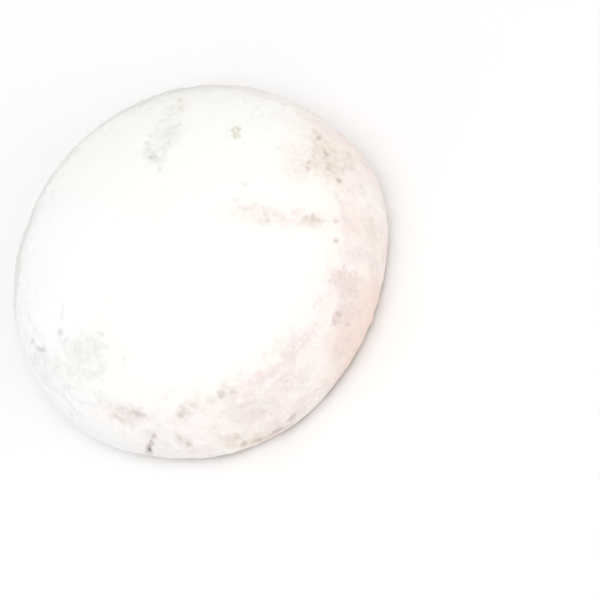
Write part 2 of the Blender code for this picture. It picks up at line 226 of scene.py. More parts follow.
# %% The spots by name
SPOTS = {
    "speck at the back, a": (78.0, 6.0, 0.80, 0.55, 30.0, 0.80, DAMP_BUTTER, 0.12),
    "speck at the back, b": (86.5, 3.5, 0.60, 0.50, -20.0, 0.84, BUTTERY_DOUGH, 0.10),
    "speck at the back, c": (95.0, -0.5, 0.90, 0.60, 10.0, 0.80, DOUGH, 0.12),
    "speck at the back, d": (113.0, -4.0, 1.00, 0.60, -10.0, 0.90, DAMP_DOUGH, 0.12),
    "speck at the back, e": (124.0, 5.0, 0.80, 0.50, 50.0, 0.76, DAMP, 0.10),
    "speck at the back, f": (132.0, 1.5, 0.60, 0.55, 0.0, 0.80, DAMP, 0.12),
    "speck at the back, g": (46.0, 4.0, 0.70, 0.50, -40.0, 0.82, BUTTERY_DOUGH, 0.10),
    "speck at the back, h": (61.0, -1.0, 0.80, 0.60, 20.0, 0.76, DAMP_DOUGH, 0.10),
    "speck at the back, i": (155.0, -1.0, 0.90, 0.50, 5.0, 0.80, DAMP, 0.12),
    "streak in the damp, a": (50.5, 38.0, 0.85, 0.45, -60.0, 0.42, DAMP, 0.05),
    "streak in the damp, b": (56.5, 30.5, 0.95, 0.45, -70.0, 0.50, DAMP, 0.05),
    "streak in the damp, c": (49.0, 31.5, 0.85, 0.45, -70.0, 0.52, DAMP, 0.05),
    "streak in the damp, d": (63.0, 34.0, 0.80, 0.42, -70.0, 0.42, DAMP, 0.05),
    "dark spot in the damp": (61.5, 45.5, 0.95, 0.70, -70.0, 0.92, DAMP, 0.10),
    "spot in the damp, left": (65.0, 37.0, 0.75, 0.55, -90.0, 0.66, DAMP, 0.06),
    "spot in the damp, a": (55.0, 42.5, 0.75, 0.42, -60.0, 0.66, DAMP, 0.06),
    "spot in the damp, b": (52.0, 40.0, 0.75, 0.42, -55.0, 0.72, DAMP, 0.06),
    "spot in the damp, c": (56.5, 53.5, 0.50, 0.42, -60.0, 0.56, DAMP, 0.05),
    "tan speck, far side": (52.0, 19.5, 0.80, 0.40, -75.0, 0.60, DAMP_DOUGH, 0.05),
    "tan speck, far side, inner": (50.5, 23.0, 0.75, 0.40, -70.0, 0.56, DAMP_DOUGH, 0.05),
    "brown line, right, a": (0.5, 14.0, 0.90, 0.52, -35.0, 0.70, DAMP_DOUGH, 0.10),
    "brown line, right, b": (-3.0, 14.5, 0.76, 0.52, -45.0, 0.86, BUTTERY_DOUGH, 0.10),
    "brown line, right, c": (-6.0, 14.8, 0.70, 0.50, -30.0, 0.34, DOUGH, 0.05),
    "brown line, right, d": (-10.0, 15.0, 0.85, 0.58, -40.0, 0.88, BUTTERY_DOUGH, 0.10),
    "brown line, right, e": (-15.0, 16.5, 1.20, 0.70, -35.0, 0.64, DOUGH, 0.08),
    "brown speck, right, a": (-14.0, 20.0, 0.60, 0.50, -50.0, 0.44, DOUGH, 0.06),
    "brown speck, right, b": (-14.5, 23.0, 0.56, 0.46, -50.0, 0.76, BUTTERY_DOUGH, 0.08),
    "brown speck, right, c": (-12.0, 22.0, 0.56, 0.44, -50.0, 0.76, BUTTERY_DOUGH, 0.06),
    "brown speck, right, d": (-17.0, 13.5, 0.85, 0.62, 70.0, 0.68, DAMP_DOUGH, 0.06),
    "brown speck, right, e": (-11.5, 9.0, 1.30, 0.65, -25.0, 0.64, DAMP_DOUGH, 0.05),
    "brown speck, right, f": (-9.5, 19.5, 0.85, 0.50, -65.0, 0.70, DAMP_DOUGH, 0.06),
    "mauve spot, right": (-12.5, 24.5, 0.60, 0.50, -50.0, 0.50, BUTTER, 0.06),
    "grey spot above it": (-1.5, 26.5, 0.75, 0.65, -40.0, 0.34, DAMP, 0.04),
    "ringed dimple": (-29.0, 46.5, 0.95, 0.70, 60.0, 0.60, DAMP_BUTTER, 0.08),
    "speck in the streak, a": (-35.0, 37.0, 0.56, 0.44, -85.0, 0.62, DAMP_BUTTER, 0.06),
    "speck in the streak, b": (-37.5, 39.5, 0.60, 0.48, 85.0, 0.74, DAMP_BUTTER, 0.08),
    "speck in the streak, c": (-40.5, 33.0, 0.62, 0.46, -60.0, 0.56, DAMP_BUTTER, 0.06),
    "speck in the streak, d": (-40.0, 25.0, 0.95, 0.50, -85.0, 0.62, TAUPE, 0.05),
    "bar in the streak": (-37.0, 24.5, 1.20, 0.56, -90.0, 0.80, TAUPE, 0.08),
    "bar in the streak, inner": (-36.0, 27.2, 0.70, 0.52, -80.0, 0.74, TAUPE, 0.06),
    "end of the streak": (-37.0, 18.5, 0.55, 0.48, -65.0, 0.76, BUTTERY_DOUGH, 0.08),
    "lone speck, a": (-21.5, 16.0, 0.46, 0.40, -50.0, 1.00, TAUPE, 0.14),
    "lone speck, b": (-44.5, 18.5, 0.42, 0.38, -50.0, 0.94, TAUPE, 0.12),
    "lone speck, c": (-53.5, 7.5, 0.60, 0.50, -60.0, 0.52, BUTTERY_DOUGH, 0.06),
    "lone speck, d": (-11.5, 44.0, 0.44, 0.38, 40.0, 0.64, DAMP, 0.08),
    "lone speck, e": (-20.0, 50.5, 0.44, 0.38, 50.0, 0.62, DAMP, 0.08),
    "buttery spot, inner": (-56.0, 15.0, 0.60, 0.50, -20.0, 0.40, BUTTER, 0.06),
    "buttery spot, a": (-58.0, 9.0, 0.85, 0.70, 85.0, 0.70, DAMP_BUTTER, 0.08),
    "buttery spot, b": (-66.5, 10.5, 0.72, 0.60, -70.0, 0.86, BUTTER, 0.10),
    "buttery spot, c": (-68.0, 7.0, 0.75, 0.50, -60.0, 0.86, BUTTER, 0.08),
    "buttery spot, d": (-69.5, 10.5, 0.80, 0.50, -65.0, 0.84, BUTTER, 0.08),
    "crease at the left": (168.5, 29.5, 1.30, 0.46, -35.0, 0.46, DAMP, 0.12),
    "spot under the crease": (174.5, 25.5, 0.64, 0.52, 55.0, 0.80, DAMP, 0.18),
    "arc above the dimples": (-166.0, 34.5, 0.95, 0.36, 20.0, 0.58, DAMP, 0.14),
    "arc at the left edge": (171.5, 16.5, 1.20, 0.38, 45.0, 0.86, DAMP, 0.16),
    "dimple, middle": (-168.0, 26.5, 0.50, 0.42, -75.0, 0.44, DAMP, 0.12),
    "dimple, outer": (-179.0, 16.5, 0.74, 0.42, 45.0, 0.60, DAMP, 0.12),
    "dimple, right": (-165.5, 21.0, 0.95, 0.60, 30.0, 0.44, DAMP, 0.10),
    "nick at the left edge": (166.5, 15.0, 0.95, 0.50, 80.0, 0.66, DAMP, 0.10),
    "fold at the left edge": (175.5, 15.5, 1.15, 0.65, 5.0, 0.46, DAMP, 0.08),
    "faint streak by the dimples": (-150.5, 30.5, 1.10, 0.44, 90.0, 0.40, DAMP, 0.06),
    "olive spot, lower left, a": (-151.5, 13.0, 0.85, 0.56, 20.0, 0.64, DAMP_DOUGH, 0.10),
    "olive spot, lower left, b": (-149.5, 12.5, 0.78, 0.54, 15.0, 0.60, DOUGH, 0.10),
    "brown streak, lower left": (-144.0, 15.0, 1.45, 0.60, -5.0, 0.82, DAMP_BUTTER, 0.14),
    "brown streak, its tail": (-148.0, 16.0, 1.10, 0.55, -5.0, 0.60, DAMP_BUTTER, 0.10),
    # the pit is sunk, and the material paints its shadow in dark grey
    "pit at the lower edge": (-142.5, 2.2, 1.90, 0.44, 68.0, 1.50, DAMP_DOUGH, 0.22),
    "tail of the pit": (-139.5, 8.0, 0.90, 0.40, 65.0, 0.92, DAMP_DOUGH, 0.14),
    "spot at the lower edge, a": (-131.0, 7.5, 0.62, 0.52, 55.0, 0.90, DAMP_DOUGH, 0.12),
    "spot at the lower edge, b": (-129.5, 5.5, 0.70, 0.60, -85.0, 0.80, DAMP_DOUGH, 0.12),
    "shoulder spot, a": (-128.0, 15.5, 1.00, 0.62, 25.0, 0.80, DAMP_BUTTER, 0.12),
    "shoulder spot, b": (-124.0, 17.0, 0.95, 0.52, 25.0, 0.80, DAMP_BUTTER, 0.10),
    "shoulder spot, c": (-117.0, 17.5, 0.90, 0.56, 5.0, 0.50, DAMP_BUTTER, 0.06),
    "shoulder spot, d": (-113.0, 18.0, 0.78, 0.62, 35.0, 0.84, DAMP_BUTTER, 0.12),
    "shoulder spot, e": (-109.0, 17.5, 0.78, 0.60, -65.0, 0.66, DAMP_BUTTER, 0.10),
    "shoulder spot, f": (-102.0, 17.0, 0.80, 0.60, -30.0, 0.46, BUTTER, 0.08),
    "rim spot, a": (-108.0, 13.0, 0.90, 0.60, 0.0, 0.42, DAMP_BUTTER, 0.06),
    "rim spot, b": (-104.5, 12.5, 0.80, 0.55, -10.0, 0.62, DAMP_BUTTER, 0.06),
    "rim spot, c": (-104.5, 7.5, 0.90, 0.60, -5.0, 0.56, DAMP_BUTTER, 0.10),
    "foot spot, a": (-115.0, 3.5, 0.85, 0.60, 75.0, 0.48, DAMP_DOUGH, 0.08),
    "foot spot, b": (-114.5, -1.0, 1.05, 0.62, 45.0, 0.84, DOUGH, 0.12),
    "foot spot, c": (-110.5, -3.0, 1.35, 0.80, 15.0, 1.00, BUTTERY_DOUGH, 0.14),
    "foot spot, f": (-107.8, -4.0, 1.00, 0.60, 30.0, 0.90, DAMP_DOUGH, 0.12),
    "foot spot, d": (-104.2, -2.9, 1.75, 1.10, -4.0, 1.00, BUTTER, 0.14),
    "foot spot, e": (-99.0, 0.0, 1.20, 0.50, 12.0, 0.94, TAUPE, 0.10),
}
print(len(SPOTS), "spots")

# %% [markdown]
# Of a ring only the oval's outline shows, as round a dimple.

# %% The rings by name
RINGS = {
    "ring of the dimples": (-168.0, 26.5, 1.10, 1.00, 40.0, 0.72, DAMP, 0.08),
    "outer ring of the dimples": (-167.0, 25.5, 2.30, 1.80, 30.0, 0.62, DAMP, 0.07),
    "buttery ring": (-56.5, 13.0, 0.95, 0.80, -35.0, 0.85, BUTTER, 0.06),
    "ring in the streak": (-35.5, 29.0, 0.72, 0.62, -20.0, 0.50, BUTTER, 0.05),
}
print(len(RINGS), "rings")

# %% [markdown]
# ## Reading the dome into arrays
# The coat has nearly a hundred thousand points. A Python loop over them is slow, and Numpy handles them
# all at once. So the points and the outward directions are copied into arrays, worked on there, and
# written back at the end. The melt has drawn the surface in a little, so it is first let out again.

# %% Points, outward directions, and where they lie on the globe
FULLNESS = 0.07 * MM  # how far the surface is let out
point_count = len(sugar_coat.data.vertices)
points = np.empty(3 * point_count)
outwards = np.empty(3 * point_count)
sugar_coat.data.vertices.foreach_get("co", points)
sugar_coat.data.vertices.foreach_get("normal", outwards)
points, outwards = points.reshape(-1, 3), outwards.reshape(-1, 3)
points += FULLNESS * outwards

from_centre = points - np.array(GLOBE_CENTRE)
bearings = np.degrees(np.arctan2(from_centre[:, 1], from_centre[:, 0]))
elevations = np.degrees(np.arctan2(from_centre[:, 2], np.hypot(from_centre[:, 0], from_centre[:, 1])))
print(f"{point_count} points, from {elevations.min():.0f} to {elevations.max():.0f} degrees on the globe")

# %% [markdown]
# Three helpers do most of the work from here on. One makes a soft step, so that nothing on the cookie
# ends in a hard line. One reads smooth noise, which has bumps of a chosen size, and one adds up noise in
# several sizes. With them come the first two masks. A mask is a number from 0 to 1 at each point, and is
# high where something applies.

# %% Soft steps, noise, and the first masks
RIM_STARTS, RIM_FULL = 30.0, 16.0  # elevations between which the crown turns into the steep side
BASE_STARTS, BASE_FULL = -0.55, -0.90  # and how far down the surface faces where the base begins


def ease(values, low, high):
    """0 below low, 1 above high, and a smooth climb between them. It falls if low is above high."""
    share = np.clip((values - low) / (high - low), 0.0, 1.0)
    return share * share * (3.0 - 2.0 * share)


def bumps(size, shift):
    """Smooth noise from -1 to 1 over the dome, with lumps about this size. The shift picks its pattern."""
    return np.array([noise.noise(Vector(p)) for p in points / size + shift])


def mixed_bumps(*layers):
    """Noise in several sizes added up: a share, a size and a shift for each."""
    return sum(share * bumps(size, shift) for share, size, shift in layers)


rim = ease(elevations, RIM_STARTS, RIM_FULL)  # 0 on the crown, 1 on the steep side
underside = ease(outwards[:, 2], BASE_STARTS, BASE_FULL)  # 1 on the base
print(f"{100 * rim.mean():.0f}% of the points lie on the steep side or the base")

# %% [markdown]
# ## How much each mark shows at each point
# A mark's oval is measured in the surface, along its own length and width. Noise added to that distance
# frays its edge. The strongest mark at a point wins, so that overlapping marks don't add up to a hole,
# but their tones mix by how strongly each shows, so that no hard line runs where two of them meet. A spot
# is also kept apart in `spotted`, so that the material can draw it darker. Round each rubbed or buttery
# mark lies a haze of cream.

# %% What is known of the wear at each point
TINY = 1e-6  # the tones' weights start here, because they are divided by
worn = np.zeros(point_count)
spotted = np.zeros(point_count)  # how far a spot shows, over the worn patch that it lies in
sink = np.zeros(point_count)
flush = np.zeros(point_count)  # the cream haze round the marks that aren't damp
tone_weight = np.full(point_count, TINY)
damp_weight = np.zeros(point_count)
butter_weight = np.zeros(point_count)


def show(amount, tone):
    """Lets this much worn sugar of this tone show, point by point."""
    np.maximum(worn, amount, out=worn)
    weight = np.clip(amount, 0.0, None) ** 2
    tone_weight[:] += weight
    damp_weight[:] += weight * tone[0]
    butter_weight[:] += weight * tone[1]


print("arrays ready for", point_count, "points")

# %% [markdown]
# The reach of a point is its distance from a mark's middle, counted so that it is 1 at the oval's edge.
# Patches, spots, rings and hazes differ only in the reach at which they end and at which they are full.

# %% Turn the marks into worn and sunk sugar
PATCH_EDGE = (1.20, 0.35)  # the reach where a patch ends, and where it is full
SPOT_EDGE = (1.50, 0.10)
RING_EDGE = (0.55, 0.10)  # the same to both sides of the oval's outline
HAZE_EDGE = (2.10, 0.50)
SPOT_VEIL = 0.85  # how much of a spot's strength goes into the veil round it
PATCH_FRAY = 0.55  # how far noise moves a patch's edge
SPOT_FRAY = 0.75
RING_FRAY = 0.7 * SPOT_FRAY
PATCH_LAYERS = (0.6, 1.7 * MM, 11.0), (0.4, 0.7 * MM, 23.0)  # the noise of its edge, in two sizes
SPOT_LAYERS = (0.5, 0.9 * MM, 13.0), (0.5, 0.45 * MM, 29.0)
PLAINLY_WORN = 0.2
patch_noise, spot_noise = mixed_bumps(*PATCH_LAYERS), mixed_bumps(*SPOT_LAYERS)


def wear(mark, fray, kind):
    """Adds one mark to the worn and sunk sugar. The fray is how far its edge moves at each point."""
    bearing, elevation, half_length, half_width, turn, strength, tone, depth = mark
    half_length, half_width, depth = half_length * MM, half_width * MM, depth * MM
    middle, along, up, outward = place(bearing, elevation)
    turn = math.radians(turn)
    long_way = math.cos(turn) * along + math.sin(turn) * up
    wide_way = math.cos(turn) * up - math.sin(turn) * along
    offsets = points - np.array(middle)
    reach = np.hypot(offsets @ np.array(long_way) / half_length, offsets @ np.array(wide_way) / half_width)
    reach += fray
    near = np.abs(offsets @ np.array(outward)) < half_length + half_width
    if kind == "patch":
        share = ease(reach, *PATCH_EDGE) * near
    elif kind == "spot":
        share = ease(reach, *SPOT_EDGE) * near
        np.maximum(spotted, strength * share, out=spotted)
    else:
        share = ease(np.abs(reach - 1.0), *RING_EDGE) * near
    show(strength * share * (SPOT_VEIL if kind == "spot" else 1.0), tone)
    np.maximum(sink, depth * share, out=sink)
    haze = ease(reach, *HAZE_EDGE) * near
    np.maximum(flush, strength * (1.0 - tone[0]) * haze, out=flush)


for patch in PATCHES.values():
    wear(patch, PATCH_FRAY * patch_noise, "patch")
for spot in SPOTS.values():
    wear(spot, SPOT_FRAY * spot_noise, "spot")
for ring in RINGS.values():
    wear(ring, RING_FRAY * spot_noise, "ring")
print(f"worn over {100 * (worn > PLAINLY_WORN).mean():.1f}% of the coat")

# %% [markdown]
# ## The steep side, the foot and the base
# Rolling in sugar coats the crown thickly. The steep side keeps less, and it differs all the way round.
# So it is divided into stretches, each one a mask with soft ends. They could be cut out as faces with
# materials of their own, but a mask lets one stretch melt into the next.
#
# Three sizes of noise make every stretch uneven. They are read once and used all through.

# %% Noise in three sizes, and the stretches of the edge
BROAD, MIDDLING, FINE = (6.0 * MM, 5.0), (2.2 * MM, 31.0), (0.9 * MM, 47.0)  # (size, shift)
LOWER_LEFT = -160.0  # the bearing where the warm stretch of the edge begins
WARM_RUN, LEDGE_RUN = (0.0, 52.0, 145.0, 225.0), (0.0, 22.0, 105.0, 150.0)  # degrees from the lower left
FAR_RIGHT = (140.0, 175.0)
BEHIND, FAR_SIDE = (92.0, 50.0, 85.0), (90.0, 45.0, 80.0)  # a bearing, and degrees to both sides of it
broad, middling, fine = bumps(*BROAD), bumps(*MIDDLING), bumps(*FINE)
from_left = (bearings - LOWER_LEFT) % 360.0  # degrees round from there, by the front to the right


def uneven(base, by_broad, by_middling, by_fine=0.0):
    """A share that wanders about its base with the three sizes of noise."""
    return base + by_broad * broad + by_middling * middling + by_fine * fine


def run(begins, full, fades, gone):
    """A stretch of the edge, counted in degrees from the lower left."""
    return ease(from_left, begins, full) * ease(from_left, gone, fades)


def about(middle, full, gone):
    """A stretch about a bearing: 1 within the first angle from it, and 0 beyond the second."""
    return ease(np.abs((bearings + (180.0 - middle)) % 360.0 - 180.0), gone, full)


warm_side, ledge_side = run(*WARM_RUN), run(*LEDGE_RUN)
far_right = ease(from_left, *FAR_RIGHT)
behind, far_side = about(*BEHIND), about(*FAR_SIDE)
print(f"{100 * warm_side.mean():.0f}% of the points lie on the warm side")

# %% [markdown]
# On the front and the right of this cookie the thick coat ends in a low scalloped ledge along the
# shoulder. It could be sculpted with a brush. Here it is a line of elevation that wanders with the noise,
# and the surface drops below it, because one number then moves or deepens the whole ledge.

# %% Drop the surface below the ledge
SHOULDER_ELEVATION = 18.0  # degrees on the globe
SCALLOP = 2.2  # how far the ledge wanders up and down, in degrees
LEFT_DIP, RIGHT_DIP = 2.8, 4.5  # how much lower the ledge ends at the left and at the right, in degrees
LEDGE_DROP = 0.13 * MM
LEDGE_SOFTNESS = 1.7  # half the height of the ledge's slope, in degrees
SCALLOPS = (0.0, 0.0, 0.8, 0.4)  # shares of the three sizes of noise in its line, after the mean
LEFT_END = (35.0, 8.0)  # degrees from the lower left
ledge_line = SHOULDER_ELEVATION + SCALLOP * uneven(*SCALLOPS)
ledge_line -= LEFT_DIP * ease(from_left, *LEFT_END) + RIGHT_DIP * far_right
below_ledge = ease(elevations, ledge_line + LEDGE_SOFTNESS, ledge_line - LEDGE_SOFTNESS)
sink += LEDGE_DROP * below_ledge * ledge_side * (1.0 - underside)
print(f"the ledge lies between {ledge_line.min():.0f} and {ledge_line.max():.0f} degrees")

# %% [markdown]
# Below the ledge the thinner coat takes a pink and cream cast from the butter in it, and on the warm side
# this cast also paints in warm bounce light. At the lower right it is strongest and turns tan, most of
# all at the very edge: that tan is painted bounce light. At the front left the foot has kept its white
# sugar.

# %% The cream and rose casts, and painted bounce light
SIDE_CAST, BACK_CAST = (0.82, 0.40, 0.35), (0.32, 0.50, 0.30)  # the mean, and what the noise adds
COOL_SHARE, WARM_SHARE = 0.05, 0.95  # of the side's cast: all round, and on the warm side besides
RIM_CAST, RIM_FADE = 0.40, 0.7  # the cast over the whole rim, and how much of it fades at the far right
BACK_HEIGHTS = (11.0, 4.0)  # elevations where the stretch ends and where it is full, here and below
TAN_RUN, TAN_HEIGHTS, TAN_FOOT = (69.0, 88.0, 103.0, 117.0), (13.0, 5.0), (3.0, -3.0)
TAN_BODY, TAN_EDGE = 0.75, 0.25  # how tan it is throughout, and how much more at its foot
ROSE_RUN, ROSE_CAST = (95.0, 125.0, 160.0, 200.0), 0.26
WHITE_FOOT, WHITE_HEIGHTS = (-128.0, 8.0, 15.0), (2.5, -0.5)
FOOT_SPARED = 0.75  # how much of the cast and the wear the white foot is spared
HAZE_CAST = 0.90
WELL_INSIDE = 0.9  # a mask is above this well inside its stretch

cream_and_bounce = below_ledge * (COOL_SHARE + WARM_SHARE * warm_side) * uneven(*SIDE_CAST)
# painted warm bounce light along the rim of the warm side, besides the butter's cast
cream_and_bounce = np.maximum(cream_and_bounce, RIM_CAST * rim * warm_side * (1.0 - RIM_FADE * far_right))
cream_and_bounce = np.maximum(cream_and_bounce, behind * ease(elevations, *BACK_HEIGHTS) * uneven(*BACK_CAST))
# painted bounce light: the lower right rim turns tan, most of all at its foot
tan = run(*TAN_RUN) * ease(elevations, *TAN_HEIGHTS)
rose_and_bounce = np.maximum(tan * (TAN_BODY + TAN_EDGE * ease(elevations, *TAN_FOOT)), ROSE_CAST * run(*ROSE_RUN))
white_foot = about(*WHITE_FOOT) * ease(elevations, *WHITE_HEIGHTS)
cream_and_bounce = np.maximum(np.maximum(cream_and_bounce, tan), HAZE_CAST * flush)
cream_and_bounce = np.clip(cream_and_bounce, 0.0, 1.0) * (1.0 - FOOT_SPARED * white_foot)
print(f"mean cast of the side {cream_and_bounce[rim > WELL_INSIDE].mean():.2f}")

# %% [markdown]
# The side is crumbly, and at the foot the coat breaks into patches. The base has lain on the baking
# sheet: it is browned, and only dusted. On the steep far side a painted shade greys the sugar, as that
# side turns away from the light, and the left stays a cool white.

# %% The general wear of the side, the foot and the base
FOOT_STARTS, FOOT_FULL = 2.4 * MM, 0.6 * MM  # heights
MOST_SIDE_WEAR, MOST_FOOT_WEAR, MOST_BASE_WEAR = 0.5, 0.6, 1.1
SIDE_WEAR = (0.12, 0.12, 0.30, 0.22)  # the mean, and what the broad, middling and fine noise add
FOOT_WEAR, BASE_WEAR, CRUST = (0.14, 0.0, 0.40, 0.25), (0.72, 0.0, 0.30, 0.20), (0.85, 0.0, 0.25)
TAN_SOUND = 0.7  # how much less worn the tan stretch is
COOL_SIDE_WEAR, COOL_FOOT_WEAR = 0.35, 0.45  # shares of the wear that show as damp on the cool side
FAR_EDGE_SHADE_STARTS, FAR_EDGE_SHADE_FULL = -0.36, -0.14  # how steep the surface is there
FAR_STEEPER, FAR_EDGE_SHADE_SPREAD = 0.5, 1.5  # the far side counts as this much steeper, and soon takes the full painted shade
LEFT_COOL, LOW_LEFT_COOL = (145.0, 25.0, 50.0), (-155.0, 26.0, 42.0)
LOW_LEFT_HEIGHTS = (21.0, 14.0)

side_wear = np.clip(rim * uneven(*SIDE_WEAR), 0.0, MOST_SIDE_WEAR) * (1.0 - TAN_SOUND * tan)
foot_wear = ease(points[:, 2], FOOT_STARTS, FOOT_FULL) * uneven(*FOOT_WEAR)
foot_wear = np.clip(foot_wear * (1.0 - FOOT_SPARED * white_foot), 0.0, MOST_FOOT_WEAR)
show(side_wear * warm_side, DAMP_BUTTER)
show(COOL_SIDE_WEAR * side_wear * (1.0 - warm_side), DAMP)
show(foot_wear * warm_side, DOUGH)
show(COOL_FOOT_WEAR * foot_wear, DAMP)
show(np.clip(underside * uneven(*BASE_WEAR), 0.0, MOST_BASE_WEAR), DOUGH)
browned = np.clip(underside * uneven(*CRUST), 0.0, 1.0)
# Painted shade: a grey laid on the steep far side, darker where the surface turns further away
far_edge_shade = ease(FAR_STEEPER * far_side - outwards[:, 2], FAR_EDGE_SHADE_STARTS, FAR_EDGE_SHADE_FULL)
far_edge_shade *= np.minimum(1.0, FAR_EDGE_SHADE_SPREAD * far_side) * (1.0 - underside)
cool = np.maximum(about(*LEFT_COOL), about(*LOW_LEFT_COOL) * ease(elevations, *LOW_LEFT_HEIGHTS))
side_mean, base_mean = worn[rim > WELL_INSIDE].mean(), worn[underside > WELL_INSIDE].mean()
print(f"mean wear of the side {side_mean:.2f}, of the base {base_mean:.2f}")

# %% [markdown]
# ## Creases at the left
# Fine creases run along the edge at the left. They could be carved one by one, but the lines where a slow
# noise crosses zero wander just as they do, and one number moves them all. The noise is read on the
# globe, stretched round the cookie and squeezed up and down, so that its lines follow the edge. The
# creases are sunk, and a grey is laid in them as painted shade.

# %% Cut the creases
CREASE_DEPTH = 0.09 * MM
CREASE_WIDTH = 0.12  # in the noise's own units
CREASE_SHADE_STRENGTH = 0.58  # how dark the painted shade in them is
CREASE_LENGTH = 7.0 * MM  # the noise's size round the cookie
CREASE_RISE = 4.5  # and its size up and down, in degrees
CREASE_PATTERN = 9.0  # picks the noise's pattern
CREASES_BEGIN, CREASES_END = (148.0, 163.0), (216.0, 202.0)  # bearings
CREASES_TOP, CREASES_FOOT = (23.0, 17.0), (1.0, 6.0)  # elevations
CREASE_EVEN, CREASE_BROKEN = 0.6, 0.4  # how deep they are throughout, and how far fine noise breaks them
round_left = bearings % 360.0
crease_band = ease(round_left, *CREASES_BEGIN) * ease(round_left, *CREASES_END)
crease_band *= ease(elevations, *CREASES_TOP) * ease(elevations, *CREASES_FOOT)
around = np.radians(round_left) * RADIUS / CREASE_LENGTH
upwards = elevations / CREASE_RISE
wander = np.array([noise.noise(Vector((a, u, CREASE_PATTERN))) for a, u in zip(around, upwards)])
creases = crease_band * np.exp(-((wander / CREASE_WIDTH) ** 2)) * (CREASE_EVEN + CREASE_BROKEN * fine)
creases = np.clip(creases, 0.0, 1.0)
sink += CREASE_DEPTH * creases
# painted shade in the creases, laid in the grey damp tone
show(CREASE_SHADE_STRENGTH * creases, DAMP)
damp = damp_weight / tone_weight
buttery = butter_weight / tone_weight
print(f"creased over {100 * (creases > 0.5).mean():.1f}% of the coat")

# %% [markdown]
# ## Relief
# Powdered sugar lies in soft lumps, with creases where two lumps meet. Displace modifiers could push the
# surface out, but one depth would then hold for the smooth crown and the rough side alike. Here each size
# of lump is one layer of noise, with a depth for each: the fine layers are the shallowest. A layer's
# creases are where its noise crosses zero. Everything is counted inwards, so that the dressed cookie
# never grows out of its solid.

# %% Sink the surface by lumps and creases
LUMP_LAYERS = (
    # (size, depth on the crown, depth on the side, share of creases, shift in the noise)
    (3.4 * MM, 0.070 * MM, 0.10 * MM, 0.0, 61.0),
    (1.6 * MM, 0.045 * MM, 0.17 * MM, 0.25, 67.0),
    (0.95 * MM, 0.022 * MM, 0.14 * MM, 0.35, 71.0),
    (0.58 * MM, 0.012 * MM, 0.08 * MM, 0.20, 73.0),
)
LUMP_CREASE = 0.22  # half width of a crease, in the noise's own units
FINE_LUMP = 2.0 * MM  # layers smaller than this count towards the hollows
HIDDEN_SIDE, HIDDEN_HEIGHTS = (95.0, 35.0, 75.0), (24.0, 12.0)
RIM_ROUGH, LEDGE_ROUGH, HIDDEN_ROUGH, WORN_ROUGH = 0.55, 0.35, 0.5, 0.5  # what each adds
MOST_ROUGH = 1.2

hidden_side = about(*HIDDEN_SIDE) * ease(elevations, *HIDDEN_HEIGHTS)
roughness = rim * (RIM_ROUGH + LEDGE_ROUGH * ledge_side) + HIDDEN_ROUGH * hidden_side + WORN_ROUGH * worn
roughness = np.clip(roughness, 0.0, MOST_ROUGH)
inward = sink.copy()
fine_depth = np.zeros(point_count)
for size, crown_depth, side_depth, creased, shift in LUMP_LAYERS:
    swell = bumps(size, shift)
    layer = (1.0 - creased) * (0.5 + 0.5 * swell) + creased * np.exp(-((swell / LUMP_CREASE) ** 2))
    depth = layer * (crown_depth + (side_depth - crown_depth) * roughness)
    inward += depth
    if size < FINE_LUMP:
        fine_depth += depth
print(f"lumps from {1000 * inward.min():.2f} to {1000 * inward.max():.2f} mm, counted inwards")

# %% [markdown]
# Between the lumps are small pits. Voronoi noise scatters places for them, and each place has a pit if
# its own fixed draw is low enough, so that there are more of them where the coat is worn. How hollow each
# point lies is kept: the material paints shade into the hollows from it, and lets a little more wear show.

# %% Sink the pits
PIT_SPACING = 1.3 * MM  # between the places where a pit may be
PIT_PATTERN = 83.0
PIT_DRAW = 7.31  # takes each pit to a cell of its own, where its draw is read
PIT_EDGE = (0.42, 0.12)  # where a pit ends and where its floor begins, in shares of the spacing
PIT_DEPTH = 0.16 * MM
PIT_LEAST = 0.35  # the share of its depth that a pit has in smooth sugar
PITS_ON_CROWN, PITS_ON_SIDE, PITS_WHERE_WORN = 0.06, 0.34, 0.60  # how many of the places have a pit
HOLLOW_START, HOLLOW_FULL = 0.07 * MM, 0.27 * MM  # depths of the fine relief


def pit_cells(spacing, shift):
    """(distance to the nearest pit's middle in shares of the spacing, a fixed draw for that pit)."""
    distances, chances = [], []
    for p in points / spacing + shift:
        near, places = noise.voronoi(Vector(p))
        distances.append(near[0])
        chances.append(noise.cell(places[0] * PIT_DRAW))
    return np.array(distances), np.array(chances)


pit_distance, pit_chance = pit_cells(PIT_SPACING, PIT_PATTERN)
pit_share = PITS_ON_CROWN + PITS_ON_SIDE * rim + PITS_WHERE_WORN * np.clip(worn, 0.0, 1.0)
is_pit = np.abs(pit_chance) % 1.0 < pit_share
pits = ease(pit_distance, *PIT_EDGE) * is_pit * (PIT_LEAST + (1.0 - PIT_LEAST) * roughness)
inward += PIT_DEPTH * pits
fine_depth += PIT_DEPTH * pits
# Painted shade: the material darkens the colour where the fine relief lies deep
hollow_shade_and_wear = ease(fine_depth, HOLLOW_START, HOLLOW_FULL)
print(f"relief from {1000 * inward.min():.2f} to {1000 * inward.max():.2f} mm, counted inwards")

# %% [markdown]
# ## Write the shape and the wear back
# The wear is stored on the mesh as point attributes. A material can read an attribute by its name, and
# the pattern then sits exactly where the relief is, however the cookie is turned. It needs no unwrapping,
# which an image would.

